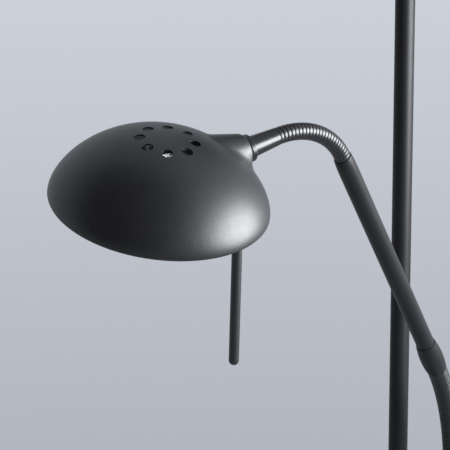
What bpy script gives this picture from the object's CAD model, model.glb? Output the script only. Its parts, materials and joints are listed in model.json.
"""Looks of a floor lamp with a reading light: its finishes, necks and sleeve, the studio and the camera.

Metres, in the lamp's own frame: the pole stands on the Z axis and the reading arm reaches towards -Y.
"""
import json
import math

import bpy
from mathutils import Matrix, Vector


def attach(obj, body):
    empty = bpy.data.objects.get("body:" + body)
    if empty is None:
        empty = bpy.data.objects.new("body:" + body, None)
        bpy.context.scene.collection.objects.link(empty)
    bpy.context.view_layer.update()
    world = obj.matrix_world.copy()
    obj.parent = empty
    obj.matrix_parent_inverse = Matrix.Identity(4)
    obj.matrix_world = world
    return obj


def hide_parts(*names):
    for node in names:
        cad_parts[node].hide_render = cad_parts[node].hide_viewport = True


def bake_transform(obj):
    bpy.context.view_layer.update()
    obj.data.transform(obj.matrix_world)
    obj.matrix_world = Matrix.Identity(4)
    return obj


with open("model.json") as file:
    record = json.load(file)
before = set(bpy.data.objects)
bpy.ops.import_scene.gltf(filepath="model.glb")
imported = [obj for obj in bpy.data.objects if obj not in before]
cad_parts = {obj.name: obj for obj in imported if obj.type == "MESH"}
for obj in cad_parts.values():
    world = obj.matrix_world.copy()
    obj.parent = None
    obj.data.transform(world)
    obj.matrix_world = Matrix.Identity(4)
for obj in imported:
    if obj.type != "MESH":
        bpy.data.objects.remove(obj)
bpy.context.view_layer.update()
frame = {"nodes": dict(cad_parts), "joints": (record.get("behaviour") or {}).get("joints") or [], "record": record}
nodes = frame["nodes"]
MM = 0.001

# Camera, matched to the photograph: place, direction in degrees, long lens and sensor in millimetres
CAMERA_PLACE = Vector((684.3, -1421.7, 1768.8)) * MM
CAMERA_AZIMUTH = 31.45
CAMERA_PITCH = 12.95
CAMERA_ROLL = 0.36
CAMERA_LENS = 144
SENSOR_WIDTH = 36

# Reading shade: the middle of its rim and the way that its crown points
SHADE_MIDDLE = Vector((-10.5, -375.4, 1498.0)) * MM
SHADE_UP = Vector((0.2715, -0.1738, 0.9466))

# Ribbed necks: a length runs from the middle of a link to the middle of the next
NECK_LINKS = 5              # between a neck's root and its tip
SECOND_HINGE = 1.5          # lengths from the foot of a neck to its second hinge
LOWER_NECK_RADIUS = 8.7 * MM
LOWER_RIBS = 7              # ribs of one length
UPPER_NECK_RADIUS = 6.55 * MM
UPPER_RIBS = 4
RIB_DEPTH = 0.65 * MM
RIB_POWER = 0.6             # a rib's profile: 1 is an elliptical arch, and less is fuller
RIB_RINGS = 8               # rings that round off one rib
NECK_SIDES = 56
SMOOTH_ANGLE = math.radians(50)

# Sleeve at the upper end of the arm: its rings by height from the mouth and radius
SLEEVE_RINGS = [
    (-20 * MM, 7.9 * MM), (-14 * MM, 7.86 * MM), (-7 * MM, 7.65 * MM), (-2 * MM, 7.3 * MM),
    (-0.9 * MM, 7.12 * MM), (-0.3 * MM, 6.85 * MM), (0, 6.45 * MM),
]

# Studio
FLOOR_RADIUS = 3.2
FLOOR_SIDES = 96
FLOOR_COLOUR = "#CDD2D9"
FLOOR_CLEAR = 1.4           # radius inside which the floor is solid; it fades out towards its edge
KEY_PLACE = Vector((0.872, 0.074, 1.6))
KEY_SIZE = (1.0, 0.68)
KEY_POWER = 39
KEY_COLOUR = "#F9FBFF"
CARD_PLACE = Vector((0.05, -1.35, 2.2))
CARD_SIZE = 3.0
CARD_COLOUR = "#6A6A6C"
BACKDROP_HIGH = "#CBD1D8"
BACKDROP_LOW = "#B2B6BF"
BACKDROP_RISE = (-0.34, -0.10)      # upward part of the view's direction at the low and at the high colour
ROOM_COLOUR = "#FFFFFF"
ROOM_LIGHT = 0.5

# Shader nodes
MIX_A, MIX_B = 6, 7         # a Mix node's colour inputs, which share their names with its other inputs
MIX_COLOUR = 2              # its colour output
WAVE_RATE = 20              # radians of a Wave texture to one unit, at a scale of 1


def linear(code):
    """An sRGB hex colour as linear red, green, blue and alpha."""
    shares = [int(code[start:start + 2], 16) / 255 for start in (1, 3, 5)]
    return [c / 12.92 if c <= 0.04045 else ((c + 0.055) / 1.055) ** 2.4 for c in shares] + [1]


def feed(tree, node, inputs):
    """Sets a node's inputs, by name or number, each to a value or to another node's output."""
    for name, value in inputs.items():
        if isinstance(value, bpy.types.NodeSocket):
            tree.links.new(value, node.inputs[name])
        else:
            node.inputs[name].default_value = value


def add_node(tree, kind, inputs, **settings):
    """One node with its settings and its inputs."""
    node = tree.nodes.new(kind)
    for name, value in settings.items():
        setattr(node, name, value)
    feed(tree, node, inputs)
    return node


def start_material(name):
    """A new material, its node tree, its shader and the place on the piece in metres."""
    material = bpy.data.materials.new(name)
    material.use_nodes = True
    tree = material.node_tree
    place = add_node(tree, "ShaderNodeTexCoord", {}).outputs["Object"]
    return material, tree, tree.nodes["Principled BSDF"], place


# Finishes

def powder_coat(name, sheen, relief):
    """Black powder coat, baked on: tiny grains that break a broad soft highlight into specks."""
    material, tree, shader, place = start_material(name)
    # The real grain is about 0.2 mm, too fine to show, so it is drawn at 0.9 mm
    grain = add_node(tree, "ShaderNodeTexNoise", {"Vector": place, "Scale": 1 / (0.9 * MM), "Detail": 2.0})
    cloud = add_node(tree, "ShaderNodeTexNoise", {"Vector": place, "Scale": 1 / (45 * MM), "Detail": 3.0})
    tone = add_node(
        tree, "ShaderNodeMix",
        {0: cloud.outputs["Fac"], MIX_A: linear("#151517"), MIX_B: linear("#1C1D1F")}, data_type="RGBA",
    )
    rough = add_node(
        tree, "ShaderNodeMapRange",
        {"Value": grain.outputs["Fac"], "From Min": 0.3, "From Max": 0.7, "To Min": 0.36, "To Max": 0.5},
    )
    bump = add_node(
        tree, "ShaderNodeBump",
        {"Height": grain.outputs["Fac"], "Strength": relief, "Distance": 0.05 * MM},
    )
    feed(tree, shader, {
        "Base Color": tone.outputs[MIX_COLOUR], "Roughness": rough.outputs["Result"],
        "Normal": bump.outputs["Normal"],
        "IOR": 1.5, "Specular IOR Level": sheen,
    })
    return material


def neck_lacquer():
    """Black lacquer on wound steel: glossier than the tubes, so each rib carries a bead of light."""
    material, tree, shader, place = start_material("black_lacquered_wound_steel")
    # Specks in the lacquer, 0.5 mm
    speck = add_node(tree, "ShaderNodeTexNoise", {"Vector": place, "Scale": 1 / (0.5 * MM), "Detail": 2.0})
    handled = add_node(tree, "ShaderNodeTexNoise", {"Vector": place, "Scale": 1 / (9 * MM), "Detail": 3.0})
    tone = add_node(
        tree, "ShaderNodeMix",
        {0: speck.outputs["Fac"], MIX_A: linear("#121213"), MIX_B: linear("#1B1B1D")}, data_type="RGBA",
    )
    rough = add_node(
        tree, "ShaderNodeMapRange",
        {"Value": handled.outputs["Fac"], "From Min": 0.3, "From Max": 0.7, "To Min": 0.3, "To Max": 0.38},
    )
    bump = add_node(
        tree, "ShaderNodeBump",
        {"Height": speck.outputs["Fac"], "Strength": 0.1, "Distance": 0.02 * MM},
    )
    feed(tree, shader, {
        "Base Color": tone.outputs[MIX_COLOUR], "Roughness": rough.outputs["Result"],
        "Normal": bump.outputs["Normal"],
        "IOR": 1.5,
    })
    return material


def turned_lacquer():
    """Black lacquer on turned steel: smooth and satin, with a narrow band of light along each piece."""
    material, tree, shader, place = start_material("black_lacquered_turned_steel")
    # Faint waves in the lacquer, 6 mm
    waves = add_node(tree, "ShaderNodeTexNoise", {"Vector": place, "Scale": 1 / (6 * MM), "Detail": 2.0})
    tone = add_node(
        tree, "ShaderNodeMix",
        {0: waves.outputs["Fac"], MIX_A: linear("#141416"), MIX_B: linear("#19191B")}, data_type="RGBA",
    )
    rough = add_node(
        tree, "ShaderNodeMapRange", {"Value": waves.outputs["Fac"], "To Min": 0.26, "To Max": 0.32}
    )
    feed(tree, shader, {
        "Base Color": tone.outputs[MIX_COLOUR], "Roughness": rough.outputs["Result"], "IOR": 1.5,
    })
    return material


def pad_foam():
    """Closed-cell EVA foam, die cut: dull, with fine cells."""
    material, tree, shader, place = start_material("black_eva_foam")
    # Cells of 0.8 mm
    cells = add_node(tree, "ShaderNodeTexVoronoi", {"Vector": place, "Scale": 1 / (0.8 * MM)})
    tone = add_node(
        tree, "ShaderNodeMix",
        {0: cells.outputs["Distance"], MIX_A: linear("#232323"), MIX_B: linear("#2E2E2F")}, data_type="RGBA",
    )
    bump = add_node(
        tree, "ShaderNodeBump",
        {"Height": cells.outputs["Distance"], "Strength": 0.5, "Distance": 0.2 * MM},
    )
    feed(tree, shader, {
        "Base Color": tone.outputs[MIX_COLOUR], "Roughness": 0.9, "Normal": bump.outputs["Normal"],
    })
    return material


def cast_iron():
    """Grey iron, sand cast and left raw: a pitted dark grey skin."""
    material, tree, shader, place = start_material("sand_cast_grey_iron")
    # Sand grains of 0.7 mm, and blotches of oxide 25 mm across
    sand = add_node(tree, "ShaderNodeTexNoise", {"Vector": place, "Scale": 1 / (0.7 * MM), "Detail": 4.0})
    blotch = add_node(tree, "ShaderNodeTexNoise", {"Vector": place, "Scale": 1 / (25 * MM), "Detail": 5.0})
    tone = add_node(
        tree, "ShaderNodeMix",
        {0: blotch.outputs["Fac"], MIX_A: linear("#4B4B4D"), MIX_B: linear("#65625F")}, data_type="RGBA",
    )
    bump = add_node(
        tree, "ShaderNodeBump",
        {"Height": sand.outputs["Fac"], "Strength": 0.6, "Distance": 0.3 * MM},
    )
    feed(tree, shader, {
        "Base Color": tone.outputs[MIX_COLOUR], "Metallic": 0.8, "Roughness": 0.62,
        "Normal": bump.outputs["Normal"],
    })
    return material


def grommet_rubber():
    """Moulded nitrile rubber: near black, with a dull sheen and a faint bloom."""
    material, tree, shader, place = start_material("moulded_black_rubber")
    # Bloom in patches of 3 mm
    bloom = add_node(tree, "ShaderNodeTexNoise", {"Vector": place, "Scale": 1 / (3 * MM), "Detail": 4.0})
    tone = add_node(
        tree, "ShaderNodeMix",
        {0: bloom.outputs["Fac"], MIX_A: linear("#171717"), MIX_B: linear("#222223")}, data_type="RGBA",
    )
    rough = add_node(
        tree, "ShaderNodeMapRange", {"Value": bloom.outputs["Fac"], "To Min": 0.55, "To Max": 0.75}
    )
    feed(tree, shader, {
        "Base Color": tone.outputs[MIX_COLOUR], "Roughness": rough.outputs["Result"], "IOR": 1.52,
    })
    return material


def zinc_plate():
    """Zinc-plated steel: a cool bright metal with faint clouds from the bath."""
    material, tree, shader, place = start_material("zinc_plated_steel")
    # Clouds of 4 mm
    cloud = add_node(tree, "ShaderNodeTexNoise", {"Vector": place, "Scale": 1 / (4 * MM), "Detail": 4.0})
    tone = add_node(
        tree, "ShaderNodeMix",
        {0: cloud.outputs["Fac"], MIX_A: linear("#8E9295"), MIX_B: linear("#A6A8A6")}, data_type="RGBA",
    )
    rough = add_node(
        tree, "ShaderNodeMapRange", {"Value": cloud.outputs["Fac"], "To Min": 0.22, "To Max": 0.38}
    )
    feed(tree, shader, {
        "Base Color": tone.outputs[MIX_COLOUR], "Metallic": 1.0, "Roughness": rough.outputs["Result"],
    })
    return material


def bracket_coat():
    """Black electro-dip on a machined steel bracket: thin, even and a little glossy."""
    material, tree, shader, place = start_material("black_dip_coated_steel")
    # The tool marks, 0.6 mm apart, are too fine to show, so that is a radian of the wave: 3.8 mm apart
    marks = add_node(
        tree, "ShaderNodeTexWave",
        {"Vector": place, "Scale": 1 / (WAVE_RATE * 0.6 * MM), "Distortion": 0.6}, bands_direction="Z",
    )
    tone = add_node(
        tree, "ShaderNodeMix",
        {0: marks.outputs["Fac"], MIX_A: linear("#161617"), MIX_B: linear("#1E1F20")}, data_type="RGBA",
    )
    bump = add_node(
        tree, "ShaderNodeBump",
        {"Height": marks.outputs["Fac"], "Strength": 0.15, "Distance": 0.03 * MM},
    )
    feed(tree, shader, {
        "Base Color": tone.outputs[MIX_COLOUR], "Roughness": 0.4, "Normal": bump.outputs["Normal"],
    })
    return material


def moulded_plastic():
    """ABS, injection moulded in an etched tool: an even black with a fine leathery grain."""
    material, tree, shader, place = start_material("etched_black_abs")
    # The etched grain is 0.35 mm; it is drawn at 0.8 mm so that it shows
    grain = add_node(tree, "ShaderNodeTexNoise", {"Vector": place, "Scale": 1 / (0.8 * MM), "Detail": 3.0})
    rough = add_node(
        tree, "ShaderNodeMapRange", {"Value": grain.outputs["Fac"], "To Min": 0.45, "To Max": 0.62}
    )
    tone = add_node(
        tree, "ShaderNodeMix",
        {0: grain.outputs["Fac"], MIX_A: linear("#161617"), MIX_B: linear("#1F1F21")}, data_type="RGBA",
    )
    bump = add_node(
        tree, "ShaderNodeBump",
        {"Height": grain.outputs["Fac"], "Strength": 0.4, "Distance": 0.08 * MM},
    )
    feed(tree, shader, {
        "Base Color": tone.outputs[MIX_COLOUR], "Roughness": rough.outputs["Result"],
        "Normal": bump.outputs["Normal"],
        "IOR": 1.54,
    })
    return material


def dimmer_polyester():
    """Glass-filled polyester, moulded: a pale warm grey with short fibres just under the skin."""
    material, tree, shader, place = start_material("glass_filled_polyester")
    # Fibres of 1 mm
    fibres = add_node(tree, "ShaderNodeTexNoise", {"Vector": place, "Scale": 1 / (1 * MM), "Detail": 5.0})
    tone = add_node(
        tree, "ShaderNodeMix",
        {0: fibres.outputs["Fac"], MIX_A: linear("#98927F"), MIX_B: linear("#AAA593")}, data_type="RGBA",
    )
    feed(tree, shader, {"Base Color": tone.outputs[MIX_COLOUR], "Roughness": 0.5})
    return material


def spun_aluminium():
    """Aluminium spun on a lathe and brightened: a satin dish with fine rings about its axis."""
    material, tree, shader, place = start_material("bright_spun_aluminium")
    turn = SHADE_UP.to_track_quat("Z", "Y").to_euler()
    centred = add_node(
        tree, "ShaderNodeMapping",
        {"Vector": place, "Location": SHADE_MIDDLE, "Rotation": turn}, vector_type="TEXTURE",
    )
    # The tool's rings, 0.2 mm apart, are too fine to show, so a radian of the wave is 0.8 mm: 5 mm apart
    rings = add_node(
        tree, "ShaderNodeTexWave",
        {"Vector": centred.outputs["Vector"], "Scale": 1 / (WAVE_RATE * 0.8 * MM), "Distortion": 0.4},
        wave_type="RINGS", rings_direction="Z",
    )
    tone = add_node(
        tree, "ShaderNodeMix",
        {0: rings.outputs["Fac"], MIX_A: linear("#B6B8BB"), MIX_B: linear("#C8C9C9")}, data_type="RGBA",
    )
    rough = add_node(
        tree, "ShaderNodeMapRange", {"Value": rings.outputs["Fac"], "To Min": 0.34, "To Max": 0.44}
    )
    bump = add_node(
        tree, "ShaderNodeBump",
        {"Height": rings.outputs["Fac"], "Strength": 0.15, "Distance": 0.03 * MM},
    )
    feed(tree, shader, {
        "Base Color": tone.outputs[MIX_COLOUR], "Metallic": 1.0, "Roughness": rough.outputs["Result"],
        "Normal": bump.outputs["Normal"],
    })
    return material


def glazed_porcelain():
    """Steatite, pressed and glazed: warm white and glassy, with a few pinholes."""
    material, tree, shader, place = start_material("glazed_white_steatite")
    # Pinholes about 1 mm apart
    pins = add_node(tree, "ShaderNodeTexVoronoi", {"Vector": place, "Scale": 1 / (1 * MM)})
    tone = add_node(
        tree, "ShaderNodeMix",
        {0: pins.outputs["Distance"], MIX_A: linear("#DAD5C8"), MIX_B: linear("#EEEAE0")}, data_type="RGBA",
    )
    feed(tree, shader, {"Base Color": tone.outputs[MIX_COLOUR], "Roughness": 0.2, "IOR": 1.56})
    return material


def quartz_glass():
    """Fused quartz, drawn: water clear, with faint draw lines along the capsule."""
    material, tree, shader, place = start_material("clear_fused_quartz")
    # Draw lines of 1.5 mm
    lines = add_node(tree, "ShaderNodeTexNoise", {"Vector": place, "Scale": 1 / (1.5 * MM), "Detail": 1.0})
    rough = add_node(
        tree, "ShaderNodeMapRange", {"Value": lines.outputs["Fac"], "To Min": 0.02, "To Max": 0.07}
    )
    feed(tree, shader, {
        "Base Color": linear("#F6F8F8"), "Roughness": rough.outputs["Result"], "IOR": 1.46,
        "Transmission Weight": 1.0,
    })
    return material


def opal_glass():
    """Opal glass, blown: milky white right through, under a smooth gloss."""
    material, tree, shader, place = start_material("blown_opal_glass")
    # Slow streaks from the blowing, 30 mm
    streaks = add_node(tree, "ShaderNodeTexNoise", {"Vector": place, "Scale": 1 / (30 * MM), "Detail": 2.0})
    tone = add_node(
        tree, "ShaderNodeMix",
        {0: streaks.outputs["Fac"], MIX_A: linear("#ECE9E1"), MIX_B: linear("#F5F3ED")}, data_type="RGBA",
    )
    feed(tree, shader, {"Base Color": tone.outputs[MIX_COLOUR], "Roughness": 0.14, "IOR": 1.5})
    return material


def nickel_plate():
    """Nickel on a rolled brass shell: a warm grey metal, rubbed by the socket."""
    material, tree, shader, place = start_material("nickel_plated_brass")
    # Rub marks of 2 mm
    rub = add_node(tree, "ShaderNodeTexNoise", {"Vector": place, "Scale": 1 / (2 * MM), "Detail": 4.0})
    tone = add_node(
        tree, "ShaderNodeMix",
        {0: rub.outputs["Fac"], MIX_A: linear("#B5AFA3"), MIX_B: linear("#CCC7BC")}, data_type="RGBA",
    )
    rough = add_node(
        tree, "ShaderNodeMapRange", {"Value": rub.outputs["Fac"], "To Min": 0.2, "To Max": 0.36}
    )
    feed(tree, shader, {
        "Base Color": tone.outputs[MIX_COLOUR], "Metallic": 1.0, "Roughness": rough.outputs["Result"],
    })
    return material


finishes = {
    "black_coat": powder_coat("satin_black_powder_coat", sheen=0.5, relief=0.6),
    "neck_coat": neck_lacquer(),
    "pad": pad_foam(),
    "ballast": cast_iron(),
    "grommet": grommet_rubber(),
    "zinc_steel": zinc_plate(),
    "black_bracket": bracket_coat(),
    "black_plastic": moulded_plastic(),
    "dimmer_plastic": dimmer_polyester(),
    "bright_aluminium": spun_aluminium(),
    "porcelain": glazed_porcelain(),
    "clear_glass": quartz_glass(),
    "opal_glass": opal_glass(),
    "nickel_cap": nickel_plate(),
}
for part in frame["record"]["subparts"]:
    for slot in nodes[part["node"]].material_slots:
        slot.material = finishes[part["material_slot"]]
# Two more finishes of the black coat: glossier on the turned pieces of the head, duller on the tubes
turned_coat = turned_lacquer()
tube_coat = powder_coat("dull_black_powder_coat", sheen=0.2, relief=0.3)
for coat, names in (
    (turned_coat, ("head_ferrule", "head_collar")),
    (tube_coat, ("arm_tube", "arm_ferrule", "pole_lower", "pole_middle", "pole_upper")),
):
    for name in names:
        for slot in nodes[name].material_slots:
            slot.material = coat


# Ribbed necks

def neck_starts(neck):
    """The frame at the foot of each of a neck's lengths, with the length and the bend of one of them."""
    hinges = [joint for joint in frame["joints"] if joint["name"].startswith(neck)]
    # By turns, the hinges turn about the axis of the neck's arc and about the way in to its middle
    across = Vector(hinges[0]["axis"]).normalized()
    inward = Vector(hinges[1]["axis"]).normalized()
    later = Vector(hinges[3]["axis"]).normalized()
    place = Vector(hinges[1]["pos_m"])
    step = inward.angle(later) / 2
    chord = (Vector(hinges[2]["pos_m"]) - place).length
    radius = chord / 2 / math.sin(step / 2)
    second = Matrix((inward, across, inward.cross(across))).transposed().to_4x4()
    second.translation = place
    middle = Matrix.Translation(place + inward * radius)
    starts = []
    for count in range(len(hinges) + 1):
        turn = Matrix.Rotation(step * (count - SECOND_HINGE), 4, across)
        starts.append(middle @ turn @ middle.inverted() @ second)
    return starts, radius * step, step


def ringed_tube(name, rings):
    """A closed tube, drawn up from a disc ring by ring, each given by its height and radius."""
    height, here = rings[0]
    bpy.ops.object.select_all(action="DESELECT")
    bpy.ops.mesh.primitive_circle_add(
        vertices=NECK_SIDES, radius=here, fill_type="NGON", location=(0, 0, height)
    )
    tube = bpy.context.object
    tube.name = name
    bpy.ops.object.transform_apply()
    bpy.ops.object.mode_set(mode="EDIT")
    bpy.ops.mesh.select_all(action="SELECT")
    for rise, there in rings[1:]:
        bpy.ops.mesh.extrude_region_move(TRANSFORM_OT_translate={"value": (0, 0, rise - height)})
        bpy.ops.transform.resize(value=(there / here, there / here, 1))
        height, here = rise, there
    bpy.ops.mesh.select_all(action="SELECT")
    bpy.ops.mesh.normals_make_consistent(inside=False)
    bpy.ops.object.mode_set(mode="OBJECT")
    return tube


def ribbed_length(name, radius, length, bend, ribs):
    """A length of ribbed tube with rounded ribs, bowed by its bend."""
    rings = [(0, radius - RIB_DEPTH)]
    for ring in range(1, ribs * RIB_RINGS + 1):
        turn = math.pi * (ring % RIB_RINGS) / RIB_RINGS
        rise = length * (ring // RIB_RINGS + (1 - math.cos(turn)) / 2) / ribs
        rings.append((rise, radius - RIB_DEPTH * (1 - math.sin(turn) ** RIB_POWER)))
    tube = ringed_tube(name, rings)
    bow = tube.modifiers.new("bow", "SIMPLE_DEFORM")
    bow.deform_method = "BEND"
    bow.deform_axis = "Y"
    bow.angle = bend
    bpy.ops.object.modifier_apply(modifier=bow.name)
    bpy.ops.object.shade_smooth_by_angle(angle=SMOOTH_ANGLE)
    return tube


def make_neck(neck, radius, ribs, bodies):
    """A flexible neck in lengths, each bending between two links of the frame."""
    starts, length, bend = neck_starts(neck)
    links = ["root"] + [f"link_{count}" for count in range(1, len(bodies) - 1)] + ["tip"]
    model = ribbed_length(f"{neck}_ribs", radius, length, bend, ribs)
    model.data.materials.append(finishes["neck_coat"])
    for count, start in enumerate(starts[:-1]):
        piece = model.copy()
        piece.data = model.data.copy()
        piece.name = f"{neck}_ribs_{count + 1}"
        bpy.context.scene.collection.objects.link(piece)
        piece.data.transform(start)
        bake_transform(piece)
        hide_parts(f"{neck}_{links[count]}")
    # The last length stands for the tip as well
    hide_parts(f"{neck}_{links[-1]}")
    bpy.data.objects.remove(model)


for neck, radius, ribs, below, above in (
    ("lower_neck", LOWER_NECK_RADIUS, LOWER_RIBS, "base", "arm"),
    ("upper_neck", UPPER_NECK_RADIUS, UPPER_RIBS, "arm", "head"),
):
    between = [f"{neck}_{count}" for count in range(1, NECK_LINKS + 1)]
    make_neck(neck, radius, ribs, [below] + between + [above])


def make_sleeve():
    """The arm's sleeve, drawn in towards the mouth that the upper neck leaves by."""
    starts = neck_starts("upper_neck")[0]
    sleeve = ringed_tube("drawn_in_sleeve", SLEEVE_RINGS)
    sleeve.data.transform(starts[0])
    bpy.ops.object.shade_smooth_by_angle(angle=SMOOTH_ANGLE)
    sleeve.data.materials.append(tube_coat)
    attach(sleeve, "arm")
    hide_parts("arm_sleeve")


make_sleeve()


# Studio and camera

def facing(place, target):
    """A matrix at a place whose -Z looks at a target."""
    return Matrix.Translation(place) @ (target - place).to_track_quat("-Z", "Y").to_matrix().to_4x4()


def make_floor():
    """A pale floor that fades into the backdrop."""
    bpy.ops.object.select_all(action="DESELECT")
    bpy.ops.mesh.primitive_circle_add(vertices=FLOOR_SIDES, radius=FLOOR_RADIUS, fill_type="NGON")
    floor = bpy.context.object
    floor.name = "floor"
    material, tree, shader, place = start_material("pale_floor_paint")
    reach = add_node(tree, "ShaderNodeVectorMath", {0: place}, operation="LENGTH")
    fade = add_node(
        tree, "ShaderNodeMapRange",
        {"Value": reach.outputs["Value"], "From Min": FLOOR_CLEAR, "From Max": FLOOR_RADIUS},
        interpolation_type="SMOOTHSTEP",
    )
    feed(tree, shader, {"Base Color": linear(FLOOR_COLOUR), "Roughness": 0.7})
    clear = add_node(tree, "ShaderNodeBsdfTransparent", {})
    faded = add_node(
        tree, "ShaderNodeMixShader", {0: fade.outputs["Result"], 1: shader.outputs[0], 2: clear.outputs[0]}
    )
    feed(tree, tree.nodes["Material Output"], {"Surface": faded.outputs[0]})
    floor.data.materials.append(material)


def make_card():
    """A grey card in front and above, unseen by the camera, that keeps the room's light off the front."""
    bpy.ops.object.select_all(action="DESELECT")
    bpy.ops.mesh.primitive_plane_add(size=1)
    card = bpy.context.object
    card.name = "front_card"
    card.matrix_world = facing(CARD_PLACE, SHADE_MIDDLE) @ Matrix.Diagonal((CARD_SIZE, CARD_SIZE, 1, 1))
    card.visible_camera = False
    material, tree, shader, _ = start_material("front_card_paper")
    feed(tree, shader, {"Base Color": linear(CARD_COLOUR), "Roughness": 0.9})
    card.data.materials.append(material)


def make_key():
    """A broad soft lamp to the right of the shade, a little above the level of its rim."""
    data = bpy.data.lights.new("key", "AREA")
    data.shape = "ELLIPSE"
    data.size, data.size_y = KEY_SIZE
    data.energy = KEY_POWER
    data.color = linear(KEY_COLOUR)[:3]
    key = bpy.data.objects.new("key", data)
    bpy.context.scene.collection.objects.link(key)
    key.matrix_world = facing(KEY_PLACE, SHADE_MIDDLE)
    key.visible_camera = False


def make_room():
    """Plain light from all round, with a pale backdrop for what the eye, metal and glass see."""
    world = bpy.data.worlds.new("room")
    bpy.context.scene.world = world
    world.use_nodes = True
    tree = world.node_tree
    way = add_node(tree, "ShaderNodeTexCoord", {}).outputs["Generated"]
    split = add_node(tree, "ShaderNodeSeparateXYZ", {"Vector": way})
    height = add_node(
        tree, "ShaderNodeMapRange",
        {"Value": split.outputs["Z"], "From Min": BACKDROP_RISE[0], "From Max": BACKDROP_RISE[1]},
    )
    wall = add_node(
        tree, "ShaderNodeMix",
        {0: height.outputs["Result"], MIX_A: linear(BACKDROP_LOW), MIX_B: linear(BACKDROP_HIGH)},
        data_type="RGBA",
    )
    seen = add_node(tree, "ShaderNodeBackground", {"Color": wall.outputs[MIX_COLOUR]})
    light = tree.nodes["Background"]
    feed(tree, light, {"Color": linear(ROOM_COLOUR), "Strength": ROOM_LIGHT})
    path = add_node(tree, "ShaderNodeLightPath", {})
    direct = add_node(
        tree, "ShaderNodeMath",
        {0: path.outputs["Is Camera Ray"], 1: path.outputs["Is Glossy Ray"]}, operation="MAXIMUM",
    )
    shown = add_node(
        tree, "ShaderNodeMath",
        {0: direct.outputs[0], 1: path.outputs["Is Transmission Ray"]}, operation="MAXIMUM",
    )
    mixed = add_node(
        tree, "ShaderNodeMixShader", {0: shown.outputs[0], 1: light.outputs[0], 2: seen.outputs[0]}
    )
    feed(tree, tree.nodes["World Output"], {"Surface": mixed.outputs[0]})


def make_camera():
    """The camera that took the photograph."""
    data = bpy.data.cameras.new("camera")
    data.lens = CAMERA_LENS
    data.sensor_width = SENSOR_WIDTH
    camera = bpy.data.objects.new("camera", data)
    bpy.context.scene.collection.objects.link(camera)
    camera.matrix_world = (
        Matrix.Translation(CAMERA_PLACE)
        @ Matrix.Rotation(math.radians(CAMERA_AZIMUTH), 4, "Z")
        @ Matrix.Rotation(math.radians(90 - CAMERA_PITCH), 4, "X")
        @ Matrix.Rotation(math.radians(-CAMERA_ROLL), 4, "Z")
    )
    bpy.context.scene.camera = camera


make_floor()
make_card()
make_key()
make_room()
make_camera()
bpy.context.scene.view_settings.view_transform = "Standard"
